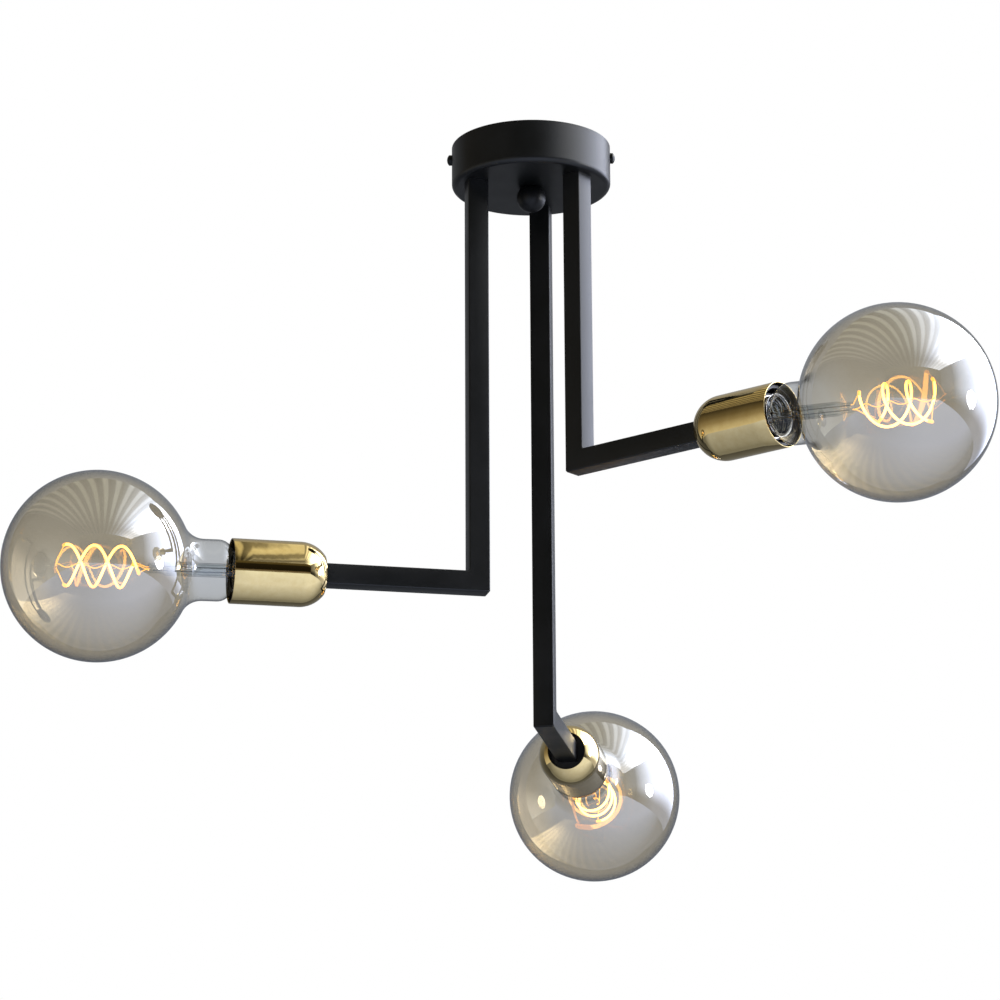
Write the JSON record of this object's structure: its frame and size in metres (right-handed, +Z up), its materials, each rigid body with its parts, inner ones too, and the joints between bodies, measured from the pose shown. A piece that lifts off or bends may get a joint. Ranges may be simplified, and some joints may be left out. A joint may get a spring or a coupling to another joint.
{
  "type": "semi flush ceiling light",
  "caption": "Semi flush ceiling light: a round black canopy with mitred square-tube arms at stepped heights, each ending in a brass cup and a large smoke-tinted globe bulb.",
  "frame": {"origin": "on the canopy axis in the ceiling plane, at the middle of the bracket slots", "axes": "+Z up into the ceiling, X through the two side screws of the canopy, the longest arm points towards +Y"},
  "size_m": [0.6367, 0.5955, 0.4583],
  "materials": {
    "black_powder_coat": "fine satin powder coat",
    "black_lacquered_steel": "satin lacquer",
    "zinc_plated_steel": "zinc plated",
    "polished_brass": "mirror polished and lacquered",
    "black_thermoplastic": "fine moulded",
    "nickel_plated_brass": "nickel plated",
    "spring_brass": "rolled",
    "solder_tin": "dull tin",
    "steatite_ceramic": "fired, unglazed",
    "white_polyamide": "moulded",
    "black_cable_sheath": "extruded",
    "black_vitrite": "fused black glass",
    "smoke_mirrored_glass": "smoke tinted, half mirrored",
    "clear_glass": "clear",
    "glowing_filament": "phosphor coated strand, lit",
    "lead_wire": "drawn wire"
  },
  "bodies": {
    "fixture": {"ceiling_bracket": "zinc_plated_steel", "canopy": "black_powder_coat", "centre_rod": "zinc_plated_steel", "centre_rod_nut": "zinc_plated_steel", "canopy_nipples": "zinc_plated_steel", "canopy_nuts": "zinc_plated_steel", "canopy_washers": "zinc_plated_steel", "stem_top_plugs": "zinc_plated_steel", "arm_end_plugs": "zinc_plated_steel", "holder_nipples": "zinc_plated_steel", "contact_bases": "steatite_ceramic", "centre_contacts": "spring_brass", "holder_terminal_screws": "zinc_plated_steel", "terminal_block": "white_polyamide", "terminal_screws": "zinc_plated_steel", "earth_screw": "zinc_plated_steel", "left_stem": "black_powder_coat", "left_arm": "black_powder_coat", "left_cable": "black_cable_sheath", "left_cup": "polished_brass", "left_holder": "black_thermoplastic", "left_screw_shell": "nickel_plated_brass", "right_stem": "black_powder_coat", "right_arm": "black_powder_coat", "right_cable": "black_cable_sheath", "right_cup": "polished_brass", "right_holder": "black_thermoplastic", "right_screw_shell": "nickel_plated_brass", "back_stem": "black_powder_coat", "back_arm": "black_powder_coat", "back_cable": "black_cable_sheath", "back_cup": "polished_brass", "back_holder": "black_thermoplastic", "back_screw_shell": "nickel_plated_brass"},
    "left_bulb_contact": {"left_bulb_tip": "solder_tin"},
    "left_bulb": {"left_bulb_glass": "smoke_mirrored_glass", "left_bulb_cap": "nickel_plated_brass", "left_bulb_insulator": "black_vitrite", "left_bulb_mount": "clear_glass", "left_bulb_filament": "glowing_filament", "left_bulb_leads": "lead_wire"},
    "right_bulb_contact": {"right_bulb_tip": "solder_tin"},
    "right_bulb": {"right_bulb_glass": "smoke_mirrored_glass", "right_bulb_cap": "nickel_plated_brass", "right_bulb_insulator": "black_vitrite", "right_bulb_mount": "clear_glass", "right_bulb_filament": "glowing_filament", "right_bulb_leads": "lead_wire"},
    "back_bulb_contact": {"back_bulb_tip": "solder_tin"},
    "back_bulb": {"back_bulb_glass": "smoke_mirrored_glass", "back_bulb_cap": "nickel_plated_brass", "back_bulb_insulator": "black_vitrite", "back_bulb_mount": "clear_glass", "back_bulb_filament": "glowing_filament", "back_bulb_leads": "lead_wire"},
    "canopy_screw_left": {"canopy_screw_left": "black_lacquered_steel"},
    "canopy_screw_right": {"canopy_screw_right": "black_lacquered_steel"},
    "ball_knob": {"ball_knob": "black_lacquered_steel"}
  },
  "joints": [
    {"name": "left_bulb_travel", "type": "slide", "parent": "fixture", "child": "left_bulb_contact", "axis": [-0.9711, -0.2385, 0], "range_m": [0, 0.01996]},
    {"name": "left_bulb_turn", "type": "hinge", "parent": "left_bulb_contact", "child": "left_bulb", "pos_m": [-0.03724, -0.0146, -0.313], "axis": [-0.9711, -0.2385, 0], "range_deg": [0, 1980]},
    {"name": "right_bulb_travel", "type": "slide", "parent": "fixture", "child": "right_bulb_contact", "axis": [0.7859, -0.6184, 0], "range_m": [0, 0.01996]},
    {"name": "right_bulb_turn", "type": "hinge", "parent": "right_bulb_contact", "child": "right_bulb", "pos_m": [0.03126, -0.02496, -0.233], "axis": [0.7859, -0.6184, 0], "range_deg": [0, 1980]},
    {"name": "back_bulb_travel", "type": "slide", "parent": "fixture", "child": "back_bulb_contact", "axis": [0.134, 0.991, 0], "range_m": [0, 0.01996]},
    {"name": "back_bulb_turn", "type": "hinge", "parent": "back_bulb_contact", "child": "back_bulb", "pos_m": [0.00598, 0.03955, -0.393], "axis": [0.134, 0.991, 0], "range_deg": [0, 1980]},
    {"name": "canopy_screw_left_turn", "type": "hinge", "parent": "fixture", "child": "canopy_screw_left", "pos_m": [-0.0545, 0, -0.0075], "axis": [-1, 0, 0], "continuous": true},
    {"name": "canopy_screw_right_turn", "type": "hinge", "parent": "fixture", "child": "canopy_screw_right", "pos_m": [0.0545, 0, -0.0075], "axis": [1, 0, 0], "continuous": true},
    {"name": "ball_knob_turn", "type": "hinge", "parent": "fixture", "child": "ball_knob", "pos_m": [0, 0, -0.036], "axis": [0, 0, 1], "continuous": true}
  ],
  "couplings": [
    {"joint": "left_bulb_travel", "follows": "left_bulb_turn", "m_per_rad": 0.00057757},
    {"joint": "right_bulb_travel", "follows": "right_bulb_turn", "m_per_rad": 0.00057757},
    {"joint": "back_bulb_travel", "follows": "back_bulb_turn", "m_per_rad": 0.00057757}
  ]
}
